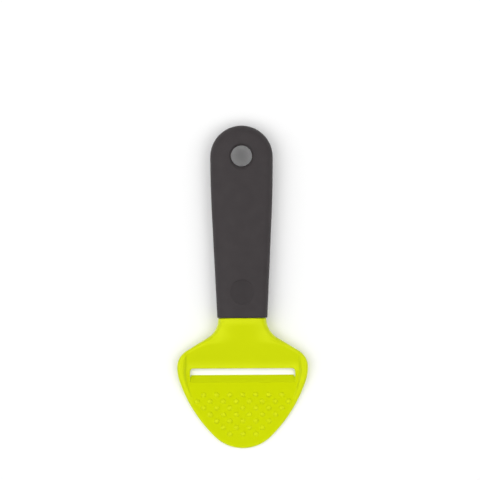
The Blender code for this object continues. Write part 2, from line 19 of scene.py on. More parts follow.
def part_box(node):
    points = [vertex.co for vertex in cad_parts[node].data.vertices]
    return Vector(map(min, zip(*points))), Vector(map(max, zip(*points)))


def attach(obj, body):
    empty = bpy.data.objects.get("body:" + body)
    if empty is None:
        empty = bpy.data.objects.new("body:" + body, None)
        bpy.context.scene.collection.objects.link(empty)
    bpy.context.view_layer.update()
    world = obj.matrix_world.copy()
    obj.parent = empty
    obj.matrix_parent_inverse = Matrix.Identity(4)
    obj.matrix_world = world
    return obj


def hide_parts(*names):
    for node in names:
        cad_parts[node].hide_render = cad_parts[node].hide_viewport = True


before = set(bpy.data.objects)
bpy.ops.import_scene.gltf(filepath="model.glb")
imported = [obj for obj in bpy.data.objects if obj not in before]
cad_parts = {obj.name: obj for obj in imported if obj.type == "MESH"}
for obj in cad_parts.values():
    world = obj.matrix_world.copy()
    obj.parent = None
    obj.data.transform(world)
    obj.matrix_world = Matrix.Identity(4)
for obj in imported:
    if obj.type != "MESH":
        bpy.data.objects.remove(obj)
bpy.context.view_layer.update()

MM = 0.001

# %% [markdown]
# ## Where the pieces meet
#
# The frame says where every piece sits, so the new pieces take their places from
# its boxes and nothing is fitted by eye. The grip starts a hair's gap behind the
# neck, and both are measured from that joint: "run" is the distance from the joint
# towards the tip, and "distance" is the distance from it towards the hanging hole.

# %% Places from the frame
GAP = 0.3
TOUCH = 1e-4

head_low, head_high = (Vector(corner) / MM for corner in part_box("slicer_head"))
grip_low, grip_high = (Vector(corner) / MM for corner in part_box("soft_grip"))
JOINT_Y = grip_low.y - GAP
HEAD_LENGTH = JOINT_Y - head_low.y
HEAD_HALF_WIDTH = head_high.x
HANDLE_LENGTH = grip_high.y - JOINT_Y
print(f"joint at Y {JOINT_Y:.2f} mm, head {HEAD_LENGTH:.2f} long, handle {HANDLE_LENGTH:.2f} long")

# %% [markdown]
# ## The head's outline
#
# Seen from above, the head is a shield: a narrow neck, two concave fillets, straight
# shoulders, round corners, and long bowed sides that meet in a round tip. A moulder
# draws that as arcs that touch without a corner. Here one point walks along the
# outline: `spin` turns it about the centre of each arc, and `extrude` with
# `translate` takes it along the straight. Only half is drawn, and `mirror` makes
# the other half, so that the two sides can't differ. The neck starts a little behind
# the joint, and is trimmed there later, so that nothing has to turn round its end.
# Each arc below is its turn in degrees and its radius.

# %% Walk the outline
NECK_HALF_WIDTH = 14.5
FILLET = (58.4, 13.4)
CORNER = (-58.4, 11.4)
UPPER_SIDE = (-19.0, 26.2)
LOWER_SIDE = (-27.0, 85.0)
POINT_SPACING = 0.8
OVERRUN = 12.0


def walk(bm, vert, heading, turn, radius):
    """Spins a point along an arc, and turns the heading with it."""
    left = Vector((-heading.y, heading.x, 0.0))
    centre = vert.co + left * math.copysign(radius, turn)
    angle = math.radians(turn)
    made = bmesh.ops.spin(
        bm,
        geom=[vert],
        cent=centre,
        axis=(0.0, 0.0, 1.0),
        angle=angle,
        steps=math.ceil(abs(angle) * radius / POINT_SPACING),
    )
    heading.rotate(Matrix.Rotation(angle, 3, "Z"))
    return next(item for item in made["geom_last"] if isinstance(item, bmesh.types.BMVert))


def walk_straight(bm, vert, heading, length, steps):
    for _ in range(steps):
        made = bmesh.ops.extrude_vert_indiv(bm, verts=[vert])
        bmesh.ops.translate(bm, verts=made["verts"], vec=heading * length / steps)
        vert = made["verts"][0]
    return vert


def half_outline():
    """The right half of the outline, from behind the joint to the tip."""
    bm = bmesh.new()
    heading = Vector((0.0, -1.0, 0.0))
    vert = bm.verts.new((NECK_HALF_WIDTH, JOINT_Y + OVERRUN, 0.0))
    vert = walk_straight(bm, vert, heading, OVERRUN, 1)
    vert = walk(bm, vert, heading, *FILLET)
    slope = math.radians(FILLET[0])
    corner_rise = CORNER[1] * (1.0 - math.cos(slope))
    straight = (HEAD_HALF_WIDTH - corner_rise - vert.co.x) / math.sin(slope)
    vert = walk_straight(bm, vert, heading, straight, math.ceil(straight / POINT_SPACING))
    for turn, radius in (CORNER, UPPER_SIDE, LOWER_SIDE):
        vert = walk(bm, vert, heading, turn, radius)
    tip_turn = 90.0 + math.degrees(math.atan2(heading.x, -heading.y))
    vert = walk(bm, vert, heading, -tip_turn, vert.co.x / -heading.y)
    print(f"tip at {vert.co.x:.3f}, {vert.co.y:.3f} mm; the frame's is at Y {head_low.y:.3f}")
    return bm


drawn = half_outline()
outline = sorted((vert.co.copy() for vert in drawn.verts), key=lambda point: -point.y)
drawn.free()
print(len(outline), "points on half of the outline")

# %% [markdown]
# ## Distance to the edge
#
# The head's roundings follow its outline, so the form has to know, for any point,
# how far inside the edge it is and which part of the edge is nearest. A k-d tree
# finds the nearest outline point at once, and the two segments beside it give the
# exact distance.

# %% Measure from the outline
edge_tree = KDTree(len(outline))
for index, point in enumerate(outline):
    edge_tree.insert(point, index)
edge_tree.balance()


def edge_near(x, y):
    """Distance inside the outline, the edge point nearest, and the slant of the edge there."""
    place = Vector((abs(x), y, 0.0))
    _, index, _ = edge_tree.find(place)
    best = None
    for first in (index - 1, index):
        if 0 <= first < len(outline) - 1:
            along = outline[first + 1] - outline[first]
            share = (place - outline[first]).dot(along) / along.length_squared
            foot = outline[first] + along * max(0.0, min(1.0, share))
            away = (place - foot).length
            if best is None or away < best[0]:
                best = (away, foot, abs(along.y) / along.length)
    return best


def half_width(run):
    """Half width of the head at a run."""
    y = JOINT_Y - run
    for before, after in zip(outline, outline[1:]):
        if after.y <= y:
            share = (before.y - y) / (before.y - after.y)
            return before.x + (after.x - before.x) * share
    return 0.0


print(f"half width at run 50: {half_width(50.0):.2f} mm")

# %% [markdown]
# ## The head's side profile
#
# From the side the head is like a dustpan. Its top is level for a millimetre at the
# handle, slopes down the long shoulder, and ends in a low plate. The two rims fall
# more slowly than the floor between them. It could be drawn as one smooth curve, but
# a straight slope shades evenly, as the real one does. So each line is a few
# straights, and a soft minimum or maximum rounds the corner where two of them meet,
# as a mould maker's cutter would. The wider the blend, the softer the corner: the
# shoulder's foot has a wide one, so that it runs out without a crease.

# %% Lines along the head
NECK_TOP = 15.1
NECK_FLAT = 1.2
NECK_BLEND = 1.6
SHOULDER_RUN = 29.5
FOOT_BLEND = 2.1
PLATE = 3.0
FRONT_FALL = 0.037
RIM_HEIGHT = 2.9
RIM_LENGTH = 19.3
RIM_BLEND = 0.5
RIM_END_BLEND = 3.0
SLOPE = (NECK_TOP - PLATE) / (SHOULDER_RUN - NECK_FLAT)
RIM_RUN = SHOULDER_RUN - RIM_HEIGHT / SLOPE
RIM_END = SHOULDER_RUN + RIM_LENGTH


def soft_min(first, second, blend):
    """The lower of two values, rounded where they cross."""
    near = max(blend - abs(first - second), 0.0)
    return min(first, second) - near * near / (4.0 * blend)


def soft_max(first, second, blend):
    return -soft_min(-first, -second, blend)


def smooth_step(value):
    value = max(0.0, min(1.0, value))
    return value * value * (3.0 - 2.0 * value)


def shoulder_line(run):
    """Height of the neck and the shoulder, as if the slope never ended."""
    return soft_min(NECK_TOP, NECK_TOP - SLOPE * (run - NECK_FLAT), NECK_BLEND)


def plate_line(run):
    """Height of the plate: level at the slot, then falling a little to the tip."""
    return PLATE - FRONT_FALL * soft_max(run - RIM_END, 0.0, RIM_END_BLEND)


def floor_line(run):
    """Height of the floor between the rims: down the shoulder and along the plate."""
    return soft_max(shoulder_line(run), plate_line(run), FOOT_BLEND)


def rim_line(run):
    """Height of the rims, which leave the shoulder early and come down to the floor late."""
    fall = RIM_HEIGHT * soft_max(RIM_END - run, 0.0, RIM_END_BLEND) / RIM_LENGTH
    return soft_max(shoulder_line(run), plate_line(run) + fall, RIM_BLEND)


for run in (0.0, 10.0, 24.0, 40.0, HEAD_LENGTH):
    print(f"run {run:5.1f}: rim {rim_line(run):5.2f} mm, floor {floor_line(run):5.2f} mm")

# %% [markdown]
# ## The shape of the top
#
# The neck is an oval that carries on from the handle: a crowned top and broad round
# sides. Down the shoulder the crown fades and the rounding narrows to a millimetre
# or two along the rims. The rounding is a quarter circle laid against the outline,
# so its drop depends on the distance from the edge alone. The pan between the rims
# is the lower of two surfaces, a steep wall and the rim's own height, and a soft
# minimum rounds the brim between them. Below, the neck's heel stands half a
# millimetre clear of the table, and comes down to it in front of the joint.

# %% Heights of the head's top and underside
NECK_CROWN_RADIUS = 33.0
CROWN_RUN = 16.0
NECK_ROLL = 5.9
ROLL_FADE = 1.5
RIM_ROLL = 2.0
TIP_ROLL = 0.9
UNDER_ROLL = 0.8
RIM_WIDTH = 5.6
RIM_NARROWING = 2.5
PAN_HALF_WIDTH = HEAD_HALF_WIDTH - RIM_WIDTH
PAN_WALL = math.tan(math.radians(56.0))
PAN_WALL_BLEND = 0.3
BRIM_ROUND = 0.8
HEEL_CLEARANCE = 0.5
HEEL_RUN = 3.0
FILLET_RUN = FILLET[1] * math.sin(math.radians(FILLET[0]))
WIDEST_RUN = JOINT_Y - max(outline, key=lambda point: point.x).y


def crown(run):
    """How strongly the top bends across: as the handle at the joint, flat on the shoulder."""
    return (1.0 - smooth_step(run / CROWN_RUN)) / NECK_CROWN_RADIUS


def top_roll(run):
    """Radius of the upper edge's rounding."""
    share = smooth_step((run - SHOULDER_RUN) / (HEAD_LENGTH - SHOULDER_RUN))
    rim = RIM_ROLL + (TIP_ROLL - RIM_ROLL) * share
    return rim + (NECK_ROLL - rim) * max(0.0, 1.0 - run / RIM_RUN) ** ROLL_FADE


def rolled_drop(x, run, away, edge, slant, radius):
    """Fall from the middle line to a point: the crown, then the quarter circle at the edge."""
    bend = crown(run)
    lean = math.atan(bend * max(0.0, edge.x - radius * slant))
    reach = radius * (1.0 - math.sin(lean))
    if away >= reach:
        return bend * x * x / 2.0
    start = max(0.0, edge.x - reach * slant)
    level = math.sqrt(max(0.0, 1.0 - (1.0 - away / radius) ** 2))
    return bend * start * start / 2.0 + radius * (math.cos(lean) - level)


def pan_foot(run):
    """Half width of the pan's floor: straight beside the slot, then with the outline."""
    if run <= WIDEST_RUN:
        return PAN_HALF_WIDTH
    share = min(1.0, (run - WIDEST_RUN) / (RIM_END - WIDEST_RUN))
    return half_width(run) - RIM_WIDTH + RIM_NARROWING * share


def head_top(x, y):
    run = JOINT_Y - y
    away, edge, slant = edge_near(x, y)
    floor = floor_line(run)
    lift = max(0.0, rim_line(run) - floor)
    wall = soft_max((abs(x) - pan_foot(run)) * PAN_WALL, 0.0, PAN_WALL_BLEND)
    brim = max(TOUCH, min(BRIM_ROUND, lift))
    drop = rolled_drop(x, run, away, edge, slant, top_roll(JOINT_Y - edge.y))
    return floor + soft_min(lift, wall, brim) - drop


def head_underside(x, y):
    run = JOINT_Y - y
    away, edge, slant = edge_near(x, y)
    share = 1.0 - smooth_step((JOINT_Y - edge.y) / FILLET_RUN)
    radius = UNDER_ROLL + (NECK_ROLL - UNDER_ROLL) * share
    rest = HEEL_CLEARANCE * (1.0 - smooth_step(run / HEEL_RUN))
    return rest + rolled_drop(x, run, away, edge, slant, radius)


print(f"plate {head_top(0.0, JOINT_Y - 45.0):.2f} mm high")
print(f"rim {head_top(37.0, JOINT_Y - 29.0):.2f} mm high")

# %% [markdown]
# ## Pressing a flat sheet into the form
#
# The head could be lofted from cross-sections, but its roundings follow the outline
# and not the sections. So it is made as a press would: the outline is filled flat,
# `inset_region` lays rings of faces along its edge, `bisect_plane` cuts the middle
# into a fine grid, and `extrude_face_region` makes it a closed slab. Then every
# point of the slab's top and bottom is moved to its height. The rings lie closest
# at the edge, where the rounding turns fastest.

# %% Helpers that press a sheet
EDGE_RINGS = (0.03, 0.13, 0.3, 0.55, 0.85, 1.2, 1.6, 2.0, 2.4, 2.8)
EDGE_RINGS += (3.2, 3.6, 4.0, 4.4, 4.8, 5.2, 5.6, 6.0, 6.4)


def everything(bm):
    return bm.verts[:] + bm.edges[:] + bm.faces[:]


def outline_sheet():
    """The whole outline as one flat face."""
    bm = half_outline()
    bmesh.ops.mirror(bm, geom=everything(bm), axis="X", merge_dist=TOUCH)
    ends = [vert for vert in bm.verts if vert.co.y > JOINT_Y + OVERRUN - TOUCH]
    bmesh.ops.contextual_create(bm, geom=ends)
    made = bmesh.ops.edgeloop_fill(bm, edges=bm.edges)
    return bm, made["faces"][0]


def lay_rings(bm, face, rings):
    """Lays rings of faces inside a face's edge, at distances from that edge."""
    done = 0.0
    for ring in rings:
        bmesh.ops.inset_region(
            bm, faces=[face], thickness=ring - done, use_even_offset=True, use_boundary=True
        )
        done = ring


def trim_sheet(bm, run, side):
    """Removes what lies behind a run (side 1) or past it (side -1)."""
    bmesh.ops.bisect_plane(
        bm,
        geom=everything(bm),
        dist=TOUCH,
        plane_co=(0.0, JOINT_Y - run, 0.0),
        plane_no=(0.0, side, 0.0),
        clear_outer=True,
    )


def cut_across(bm, faces, axis, places):
    """Cuts faces by planes square to an axis, and returns all the faces there are then."""
    normal = Vector((axis == "X", axis == "Y", 0.0))
    for place in places:
        edges = {edge for face in faces for edge in face.edges}
        verts = {vert for face in faces for vert in face.verts}
        cut = bmesh.ops.bisect_plane(
            bm, geom=[*verts, *edges, *faces], dist=TOUCH, plane_co=normal * place, plane_no=normal
        )
        faces = [item for item in cut["geom"] if isinstance(item, bmesh.types.BMFace)]
    return faces


def steps_between(first, last, spacing):
    """Even places from first to last, about a spacing apart."""
    count = max(1, round(abs(last - first) / spacing))
    return [first + (last - first) * step / count for step in range(count + 1)]


def press(bm, top, underside):
    """Gives a flat sheet two sides and moves each point to its height."""
    raised = bmesh.ops.extrude_face_region(bm, geom=bm.faces[:])["geom"]
    upper = {item for item in raised if isinstance(item, bmesh.types.BMVert)}
    for vert in bm.verts:
        vert.co.z = (top if vert in upper else underside)(vert.co.x, vert.co.y)
    bmesh.ops.remove_doubles(bm, verts=bm.verts, dist=TOUCH)
    bmesh.ops.recalc_face_normals(bm, faces=bm.faces)


# %% [markdown]
# ## The head's blank
#
# The blank is the whole head before anything is cut. The neck's end is seen from
# close by, as a fine light line along the joint, so it gets a small rounding of its
# own: the last points draw in towards the neck's middle along a quarter circle. A
# bevel would do the same, but only where the mesh has one clean edge loop, and here
# the cuts and the rings cross at the neck's sides. The neck runs on for half a
# millimetre past the joint's nominal place, to a tenth of a millimetre from the grip.

# %% Press the head's blank
NECK_MIDDLE = 7.8
NECK_BACK = 0.46
NECK_END_ROUND = 0.6
NECK_END_CUTS = (0.03, 0.1, 0.2, 0.32, 0.46, 0.62)
BANDS_OF_CUTS = ((0.4, 18.0, 1.0), (18.5, 33.0, 0.5), (34.0, 70.0, 1.2))


def grid_lines():
    """Where the middle is cut: closest at the neck's end and down the shoulder's foot."""
    across = steps_between(-HEAD_HALF_WIDTH + 1.0, HEAD_HALF_WIDTH - 1.0, 1.0)
    along = [step - NECK_BACK for step in NECK_END_CUTS]
    for first_run, last_run, spacing in BANDS_OF_CUTS:
        along += steps_between(first_run, last_run, spacing)
    return across, [JOINT_Y - run for run in along]


def round_neck_end(bm):
    for vert in bm.verts:
        run = JOINT_Y + NECK_BACK - vert.co.y
        if run < NECK_END_ROUND:
            left = min(1.0, 1.0 - run / NECK_END_ROUND)
            inset = NECK_END_ROUND * (1.0 - math.sqrt(1.0 - left * left))
            vert.co.x *= 1.0 - inset / NECK_HALF_WIDTH
            vert.co.z += (NECK_MIDDLE - vert.co.z) * inset / (NECK_TOP - NECK_MIDDLE)


def head_blank():
    bm, face = outline_sheet()
    lay_rings(bm, face, EDGE_RINGS)
    across, along = grid_lines()
    cut_across(bm, cut_across(bm, [face], "X", across), "Y", along)
    trim_sheet(bm, -NECK_BACK, 1.0)
    press(bm, head_top, head_underside)
    round_neck_end(bm)
    return bm


def keep(name, bm):
    """Turns a finished bmesh into an object, still in millimetres."""
    mesh = bpy.data.meshes.new(name)
    bm.to_mesh(mesh)
    bm.free()
    piece = bpy.data.objects.new(name, mesh)
    bpy.context.scene.collection.objects.link(piece)
    return piece


head = keep("head_moulding", head_blank())
print("head blank:", len(head.data.vertices), "points")

# %% [markdown]
# ## Cutting with other solids
#
# Slots, holes and hollows are cut with solids of their own shape. A Boolean
# modifier does that, and its result is kept at once, so that the next cut starts
# from a plain mesh. The Manifold solver is used because every solid here is closed,
# and it stays exact on meshes as fine as these.

# %% Helper that cuts or joins
def carve(body, tool, operation="DIFFERENCE"):
    cut = body.modifiers.new(tool.name, "BOOLEAN")
    cut.object = tool
    cut.operation = operation
    cut.solver = "MANIFOLD"
    graph = bpy.context.evaluated_depsgraph_get()
    made = bpy.data.meshes.new_from_object(body.evaluated_get(graph))
    body.modifiers.clear()
    body.data = made
    bpy.data.objects.remove(tool)


# %% [markdown]
# ## The hollow under the shoulder
#
# A moulding this thick would sink as it cools, so the shoulder is a shell: the space
# under it is the head's own form, one wall smaller, open below. The same press makes
# it from an inset outline. It starts at the bulkhead that closes the neck, and ends
# under the slot, at the lip.

# %% Hollow the underside
CLEAR = 5.0
WALL = 2.4
BULKHEAD = 3.0
ROOF = 1.0
ROOF_BLEND = 3.0
ROOF_FOOT_BLEND = 0.8
LEAST_ROLL = 0.5
HOLLOW_RINGS = (0.02, 0.08, 0.2, 0.35, 0.5, 0.8, 1.2, 1.7, 2.3, 3.0, 3.7)
LIP_START = 33.8
STRETCH = math.hypot(1.0, SLOPE)


def hollow_roof(x, y):
    run = JOINT_Y - y
    away, edge, slant = edge_near(x, y)
    radius = max(top_roll(JOINT_Y - edge.y) - WALL, LEAST_ROLL)
    under_slope = NECK_TOP - WALL * STRETCH - SLOPE * (run - NECK_FLAT)
    roof = soft_min(NECK_TOP - WALL, under_slope, ROOF_BLEND)
    roof = soft_max(roof, ROOF, ROOF_FOOT_BLEND)
    return roof - rolled_drop(x, run, max(0.0, away - WALL), edge, slant, radius)


def hollow():
    bm, face = outline_sheet()
    lay_rings(bm, face, [WALL])
    around = [other for other in bm.faces if other is not face]
    bmesh.ops.delete(bm, geom=around, context="FACES")
    lay_rings(bm, face, HOLLOW_RINGS)
    across, along = grid_lines()
    cut_across(bm, cut_across(bm, [face], "X", across), "Y", along)
    trim_sheet(bm, BULKHEAD, 1.0)
    trim_sheet(bm, LIP_START, -1.0)
    press(bm, hollow_roof, lambda x, y: -CLEAR)
    return bm


carve(head, keep("hollow", hollow()))
print("hollowed head:", len(head.data.vertices), "points")

# %% [markdown]
# ## The slot and the cutting lip
#
# The slot goes right through, and the plate's edge beyond it is thinned to a lip, so
# that a slice rides up through the slot. The ends of the opening have a soft round
# edge that catches the light. A bevel on the finished edge would have to follow
# many small faces, so the cutter brings the rounding with it: a flat rounded
# rectangle is extruded upwards and widened a little at each step, along a quarter
# circle, which leaves that round edge behind.

# %% Cut the slot
SLOT_START = 29.95
SLOT_HALF_WIDTH = PAN_HALF_WIDTH - 2.2
SLOT_CORNER = 1.9
SLOT_OVERRUN = 4.0
WELL_TOP = PLATE + 3.0
END_ROUND = 0.6
BACK_ROUND = 0.25
ROUND_STEPS = 8


def flared_well(last_run):
    """A well from the slot's back edge to a run, with its brim rounded outwards."""
    bm = bmesh.new()
    bmesh.ops.create_grid(bm, x_segments=1, y_segments=1, size=1.0)
    middle = JOINT_Y - (SLOT_START + last_run) / 2.0
    half_run = (last_run - SLOT_START) / 2.0
    bmesh.ops.scale(bm, vec=(SLOT_HALF_WIDTH, half_run, 1.0), verts=bm.verts)
    back = [vert for vert in bm.verts if vert.co.y > 0.0]
    bmesh.ops.bevel(
        bm, geom=back, offset=SLOT_CORNER, segments=8, profile=0.5, affect="VERTICES", material=-1
    )
    bmesh.ops.translate(bm, verts=bm.verts, vec=(0.0, middle, -CLEAR))
    ring = bm.edges[:]
    lowest = PLATE - END_ROUND
    levels = [(lowest, 0.0)]
    for step in range(1, ROUND_STEPS + 1):
        angle = math.pi / 2.0 * step / ROUND_STEPS
        levels.append((lowest + END_ROUND * math.sin(angle), 1.0 - math.cos(angle)))
    levels.append((WELL_TOP, 1.0))
    centred = Matrix.Translation((0.0, -middle, 0.0))
    done = (1.0, 1.0)
    for height, spread in levels:
        made = bmesh.ops.extrude_edge_only(bm, edges=ring)["geom"]
        wide = (SLOT_HALF_WIDTH + END_ROUND * spread) / SLOT_HALF_WIDTH
        deep = (half_run + BACK_ROUND * spread) / half_run
        verts = [item for item in made if isinstance(item, bmesh.types.BMVert)]
        bmesh.ops.scale(
            bm, vec=(wide / done[0], deep / done[1], 1.0), space=centred, verts=verts
        )
        for vert in verts:
            vert.co.z = height
        done = (wide, deep)
        ring = [item for item in made if isinstance(item, bmesh.types.BMEdge)]
    bmesh.ops.contextual_create(bm, geom=ring)
    bmesh.ops.recalc_face_normals(bm, faces=bm.faces)
    return bm


def cut_off(bm, point, normal):
    """Removes what lies on one side of a plane and closes the cut."""
    bmesh.ops.bisect_plane(
        bm, geom=everything(bm), dist=TOUCH, plane_co=point, plane_no=normal, clear_outer=True
    )
    open_edges = [edge for edge in bm.edges if edge.is_boundary]
    bmesh.ops.holes_fill(bm, edges=open_edges)
    bmesh.ops.recalc_face_normals(bm, faces=bm.faces)


def through_slot():
    """The see-through part: the well, cut off at the lip's edge."""
    bm = flared_well(LIP_START + SLOT_OVERRUN)
    cut_off(bm, (0.0, JOINT_Y - LIP_START, 0.0), (0.0, -1.0, 0.0))
    return bm


carve(head, keep("slot", through_slot()))
print("with slot:", len(head.data.vertices), "points")

# %% [markdown]
# ## The ramp of the lip
#
# The lip's ramp is the same well again, but with a sloped floor: `bisect_plane` cuts
# the well's lower part off along the ramp. A narrow level land stays at the very
# edge, because a moulded edge is never quite sharp. A small notch at each end frees
# the lip from the slot's corners.

# %% Cut the ramp, the land and the notches
LIP_RUN = 4.2
LIP_EDGE = 0.35
LIP_LAND = 0.45
RAMP_SLOPE = (PLATE - LIP_EDGE) / LIP_RUN
NOTCH = Vector((1.0, 2.2, 6.5))
NOTCH_TOP = 1.5
NOTCH_INSET = 0.2
NOTCH_CORNER = 0.3


def ramp():
    bm = flared_well(LIP_START + LIP_RUN + CLEAR)
    start = JOINT_Y - LIP_START - LIP_LAND
    cut_off(bm, (0.0, start, LIP_EDGE), (0.0, -RAMP_SLOPE, -1.0))
    return bm


def land():
    """The level strip at the lip's edge, as a thin bar that clears the space over it."""
    bm = bmesh.new()
    bmesh.ops.create_cube(bm, size=2.0)
    bmesh.ops.scale(bm, vec=(SLOT_HALF_WIDTH, LIP_LAND, 1.0), verts=bm.verts)
    middle = Vector((0.0, JOINT_Y - LIP_START, 1.0 + LIP_EDGE))
    bmesh.ops.translate(bm, verts=bm.verts, vec=middle)
    return bm


def round_upright_edges(bm, radius, steps, behind=-math.inf):
    """Bevels the upright edges, or only those that lie behind a place along the tool."""
    upright = [
        edge
        for edge in bm.edges
        if abs(edge.verts[0].co.z - edge.verts[1].co.z) > 1.0
        and all(vert.co.y > behind for vert in edge.verts)
    ]
    bmesh.ops.bevel(
        bm, geom=upright, offset=radius, segments=steps, profile=0.5, affect="EDGES", material=-1
    )


def notch(side):
    """The little gap that frees one end of the lip's edge."""
    bm = bmesh.new()
    bmesh.ops.create_cube(bm, size=1.0)
    bmesh.ops.scale(bm, vec=NOTCH, verts=bm.verts)
    round_upright_edges(bm, NOTCH_CORNER, 4)
    x = side * (SLOT_HALF_WIDTH - NOTCH_INSET)
    middle = (x, JOINT_Y - LIP_START, NOTCH_TOP - NOTCH.z / 2.0)
    bmesh.ops.translate(bm, verts=bm.verts, vec=middle)
    return bm


carve(head, keep("ramp", ramp()))
carve(head, keep("land", land()))
for side in (-1.0, 1.0):
    carve(head, keep("notch", notch(side)))
print("with lip:", len(head.data.vertices), "points")

# %% [markdown]
# ## The domes
#
# Forty low domes keep a slice of cheese from sticking to the plate. A flattened
# sphere would show a broad highlight, but the real ones show a light middle in a
# darker ring: they are low cones with a soft tip and a steeper foot. Each is that
# profile, as pairs of radius and height, spun about its own axis. They stand in
# staggered rows, and each row stops a little short of the rim, which gives the
# pattern its triangular shape.

# %% Model one dome and set the rows
DOME_FIRST_RUN = LIP_START + LIP_RUN + 7.7
DOME_ROW_PITCH = 3.92
DOME_PITCH = 7.83
DOME_SIDE_MARGIN = 4.5
DOME_TIP_MARGIN = 6.0
DOME_PROFILE = (
    (0.0, 0.8),
    (0.12, 0.785),
    (0.45, 0.705),
    (0.8, 0.62),
    (1.0, 0.55),
    (1.2, 0.42),
    (1.4, 0.26),
    (1.6, 0.08),
    (1.85, -0.16),
    (1.85, -0.7),
    (0.0, -0.7),
)


def spun(profile, y, steps):
    """A solid of revolution about an upright axis, from points of (radius, height)."""
    bm = bmesh.new()
    chain = [bm.verts.new((radius, y, height)) for radius, height in profile]
    edges = [bm.edges.new(pair) for pair in zip(chain, chain[1:])]
    bmesh.ops.spin(
        bm,
        geom=chain + edges,
        cent=(0.0, y, 0.0),
        axis=(0.0, 0.0, 1.0),
        angle=math.tau,
        steps=steps,
        use_merge=True,
    )
    bmesh.ops.remove_doubles(bm, verts=bm.verts, dist=TOUCH)
    bmesh.ops.recalc_face_normals(bm, faces=bm.faces)
    return bm


def dome_places():
    run = DOME_FIRST_RUN
    row = 0
    while run < HEAD_LENGTH - DOME_TIP_MARGIN:
        x = DOME_PITCH / 2.0 * (row % 2)
        while x <= half_width(run) - DOME_SIDE_MARGIN:
            yield from {(x, run), (-x, run)}
            x += DOME_PITCH
        row += 1
        run += DOME_ROW_PITCH


def all_domes():
    bm = bmesh.new()
    single = keep("dome", spun(DOME_PROFILE, 0.0, 24))
    places = sorted(dome_places())
    for x, run in places:
        before = len(bm.verts)
        bm.from_mesh(single.data)
        bm.verts.ensure_lookup_table()
        place = (x, JOINT_Y - run, min(PLATE, rim_line(run)))
        bmesh.ops.translate(bm, verts=bm.verts[before:], vec=place)
    bpy.data.objects.remove(single)
    print(len(places), "domes")
    return bm


carve(head, keep("domes", all_domes()), "UNION")

# %% [markdown]
# ## The tang
#
# Inside the handle the head ends in a flat tang with two round holes, which the
# handle's core was moulded through, so the head can't be pulled out. It isn't seen,
# but it is part of the same moulding. It starts as a cube: the far corners are
# rounded in plan, and each hole is cut with a plain cylinder.

# %% Add the tang
TANG = Vector((16.0, 63.5, 4.4))
TANG_BACK = 62.0
TANG_CORNER = 3.0
LOCK_HOLE_RADIUS = 3.2
LOCK_HOLE_DISTANCES = (20.0, 45.0)


def tang():
    bm = bmesh.new()
    bmesh.ops.create_cube(bm, size=1.0)
    bmesh.ops.scale(bm, vec=TANG, verts=bm.verts)
    middle = (0.0, JOINT_Y + TANG_BACK - TANG.y / 2.0, NECK_MIDDLE)
    bmesh.ops.translate(bm, verts=bm.verts, vec=middle)
    round_upright_edges(bm, TANG_CORNER, 10, JOINT_Y + TANG_BACK - 1.0)
    return bm


def upright_pin(radius, distance, low, high, steps):
    """A plain upright cylinder at a distance behind the joint, for round holes."""
    bm = bmesh.new()
    bmesh.ops.create_cone(
        bm, cap_ends=True, segments=steps, radius1=radius, radius2=radius, depth=high - low
    )
    middle = (0.0, JOINT_Y + distance, (low + high) / 2.0)
    bmesh.ops.translate(bm, verts=bm.verts, vec=middle)
    return bm


tang_bar = keep("tang", tang())
for distance in LOCK_HOLE_DISTANCES:
    carve(tang_bar, keep("lock_hole", upright_pin(LOCK_HOLE_RADIUS, distance, 0.0, NECK_TOP, 64)))
carve(head, tang_bar, "UNION")
print("head with tang:", len(head.data.vertices), "points")

# %% [markdown]
# ## The handle's section
#
# The handle is a thick oval. Its section is four arcs that touch: a broad crown
# above and below, and a tight edge on each side. The head's neck is the same oval,
# half a millimetre smaller all round. Each point of the section is found from how
# far round it lies, so that every row along the handle has the same points and the
# rows can be joined one to one.

# %% Measures of the handle
CAP_DISTANCE = 97.0
JOINT_HALF_WIDTH = 15.0
END_RADIUS = HANDLE_LENGTH - CAP_DISTANCE
TAPER = math.tan(math.radians(2.69))
EASE = 2.0 * (CAP_DISTANCE - (END_RADIUS - JOINT_HALF_WIDTH) / TAPER)
JOINT_THICKNESS = 15.6
END_THICKNESS = 16.4
EDGE_RADIUS = 6.4
SKIN = 2.4


def grip_half_width(distance):
    left = CAP_DISTANCE - distance
    if left >= EASE:
        return JOINT_HALF_WIDTH + distance * TAPER
    return END_RADIUS - TAPER * left * left / (2.0 * EASE)


def grip_thickness(distance):
    return JOINT_THICKNESS + (END_THICKNESS - JOINT_THICKNESS) * distance / CAP_DISTANCE


def crown_radius(reach, middle):
    """Radius of the broad crown that touches the edge arcs on both sides."""
    return (reach**2 + middle**2 - EDGE_RADIUS**2) / (2.0 * (middle - EDGE_RADIUS))


def section_point(distance, inset, turn):
    """Half width and height of a section's point; turn is its angle from the top's middle."""
    middle = grip_thickness(distance) / 2.0
    reach = grip_half_width(distance) - EDGE_RADIUS
    bend = crown_radius(reach, middle)
    lean = math.asin(reach / (bend - EDGE_RADIUS))
    part = min(turn, math.pi - turn) / (math.pi / 2.0)
    if part < 0.5:
        angle = lean * part / 0.5
        out = (bend - inset) * math.sin(angle)
        rise = middle - bend + (bend - inset) * math.cos(angle)
    else:
        angle = lean + (math.pi / 2.0 - lean) * (part - 0.5) / 0.5
        out = reach + (EDGE_RADIUS - inset) * math.sin(angle)
        rise = (EDGE_RADIUS - inset) * math.cos(angle)
    return out, middle + math.copysign(rise, math.cos(turn))


print(f"round end's radius {END_RADIUS:.2f} mm; the taper eases over the last {EASE:.1f} mm")

# %% [markdown]
# ## The handle's form
#
# A circle becomes the section at the round end's centre. Its right half is spun half
# a turn to sweep the round end, which leaves the section's whole ring open, and
# `extrude_edge_only` draws that ring out towards the joint, one row at a time. Each
# point keeps its angle in a layer of the mesh, and extruding copies the layer, so a
# new row can be set to its own width and thickness at once. The rows are closer
# together near the joint, where the thumb dish will be cut, and the last few draw
# in to round the grip's front edge.

